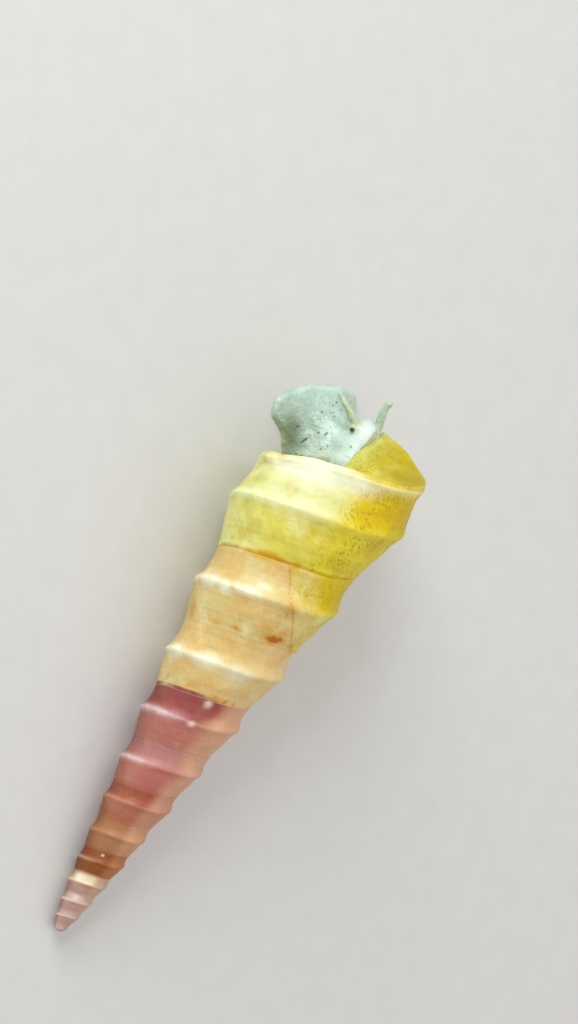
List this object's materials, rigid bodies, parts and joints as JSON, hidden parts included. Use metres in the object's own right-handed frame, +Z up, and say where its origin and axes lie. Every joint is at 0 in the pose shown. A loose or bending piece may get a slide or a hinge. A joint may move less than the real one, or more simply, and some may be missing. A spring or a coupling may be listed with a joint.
{
  "type": "screw shell sea snail model",
  "caption": "Life-size model of a live keeled screw shell crawling: a long spiral cone on its side, with the broad foot, head, snout and feelers out of the mouth.",
  "frame": {"origin": "middle of the flat sole of the foot, on the floor", "axes": "-Y is the way the head points, +X is the animal's left, +Z is up; the shell trails towards +Y"},
  "size_m": [0.0189, 0.0685, 0.0188],
  "materials": {
    "shell_yellow": "satin shell, lemon yellow with ochre pits",
    "shell_cream": "satin shell, cream with white keels and orange stains",
    "shell_rose": "satin shell, purple to rose with pale worn keels",
    "shell_tip": "worn shell, salmon to pale pink",
    "flesh": "wet skin, pale bluish grey with dark flecks",
    "white_flesh": "wet skin, near white",
    "eye": "glossy black",
    "horn": "thin brown horn"
  },
  "bodies": {
    "root": {"shell_body_whorl": "shell_yellow", "shell_penultimate_whorl": "shell_cream", "shell_spire": "shell_rose", "shell_apex": "shell_tip", "mantle_collar": "flesh", "neck": "flesh", "head": "flesh", "snout": "white_flesh", "tentacle_left": "white_flesh", "tentacle_right": "white_flesh", "eye_left": "eye", "eye_right": "eye", "operculum": "horn", "foot": "flesh", "propodium": "flesh"}
  },
  "joints": []
}
